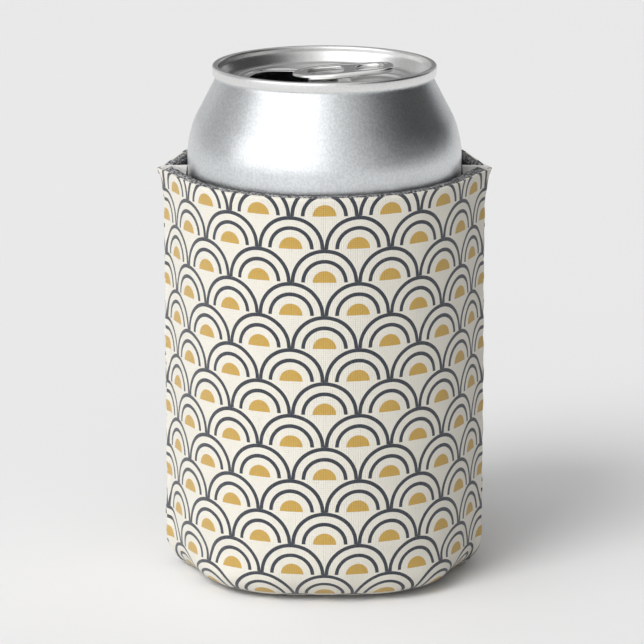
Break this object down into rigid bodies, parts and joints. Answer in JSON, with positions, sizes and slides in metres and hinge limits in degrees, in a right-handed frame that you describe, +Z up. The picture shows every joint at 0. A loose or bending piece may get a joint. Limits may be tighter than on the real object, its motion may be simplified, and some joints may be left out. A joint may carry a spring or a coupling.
{
  "type": "drinks can in a foam can cooler",
  "caption": "Opened aluminium drinks can with a stay-on pull tab, standing in a folding foam can cooler with sewn sides and a printed fan pattern.",
  "frame": {"origin": "on the floor, under the middle of the can cooler", "axes": "+Z up along the can; the pull tab's nose and the pour opening point to -X; the cooler's sewn sides are at -X and +X"},
  "size_m": [0.081, 0.0732, 0.1257],
  "materials": {
    "printed_cloth": "fine-ribbed polyester cloth, printed",
    "foam": "matt closed-cell foam",
    "lining_cloth": "matt knit",
    "thread": "spun thread",
    "body_aluminium": "satin, drawn and ironed, clear-coated",
    "lid_aluminium": "satin, clear-coated",
    "tab_aluminium": "bright stamped",
    "compound": "matt sealing compound"
  },
  "bodies": {
    "cooler": {"printed_cover": "printed_cloth", "foam_core": "foam", "lining": "lining_cloth", "side_seam_thread_left": "thread", "side_seam_thread_right": "thread"},
    "can": {"can_body": "body_aluminium", "can_end": "lid_aluminium", "seam_compound": "compound", "tab_tongue": "tab_aluminium"},
    "pull_tab": {"pull_tab": "tab_aluminium"},
    "tear_panel": {"tear_panel": "lid_aluminium"}
  },
  "joints": [
    {"name": "can_lift", "type": "slide", "parent": "cooler", "child": "can", "axis": [0, 0, 1], "range_m": [0, 0.13]},
    {"name": "tab_lift", "type": "hinge", "parent": "can", "child": "pull_tab", "pos_m": [-0.0042, 0, 0.12268], "axis": [0, -1, 0], "range_deg": [-4.5, 80]},
    {"name": "tear_panel_bend", "type": "hinge", "parent": "can", "child": "tear_panel", "pos_m": [-0.00765, -0.0082, 0.1222], "axis": [-0.9041, -0.4274, 0], "range_deg": [-20, 12]}
  ]
}
